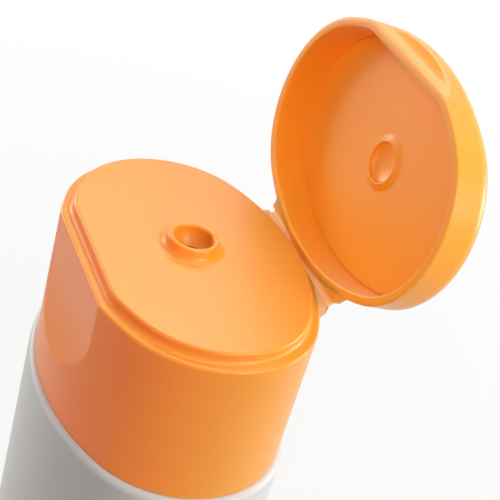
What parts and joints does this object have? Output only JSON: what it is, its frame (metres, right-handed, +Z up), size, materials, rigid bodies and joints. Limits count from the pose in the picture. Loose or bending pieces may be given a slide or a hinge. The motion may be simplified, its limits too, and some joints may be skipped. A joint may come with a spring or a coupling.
{
  "type": "sunscreen bottle",
  "caption": "Oval squeeze bottle with a snap-fit flip-top closure: spout with rounded lip, thumb recess, and a lid with sealing plug on a living hinge, open.",
  "frame": {"origin": "centre of the base ring that the bottle stands on", "axes": "+Z up along the bottle's long axis, X along the wide side of the oval, -Y the thumb side, +Y the hinge side"},
  "size_m": [0.0538, 0.0505, 0.1668],
  "materials": {
    "bottle_hdpe": "satin white blow-moulded polyethylene",
    "closure_pp": "satin orange injection-moulded polypropylene",
    "hinge_pp": "thin satin orange polypropylene film"
  },
  "bodies": {
    "bottle": {"bottle": "bottle_hdpe", "closure_base": "closure_pp", "hinge_film": "hinge_pp"},
    "lid": {"lid": "closure_pp"}
  },
  "joints": [
    {"name": "lid_hinge", "type": "hinge", "parent": "bottle", "child": "lid", "pos_m": [0, 0.01825, 0.1312], "axis": [-1, 0, 0], "range_deg": [-100.8, 59.2], "deforming": ["hinge_film"]}
  ]
}
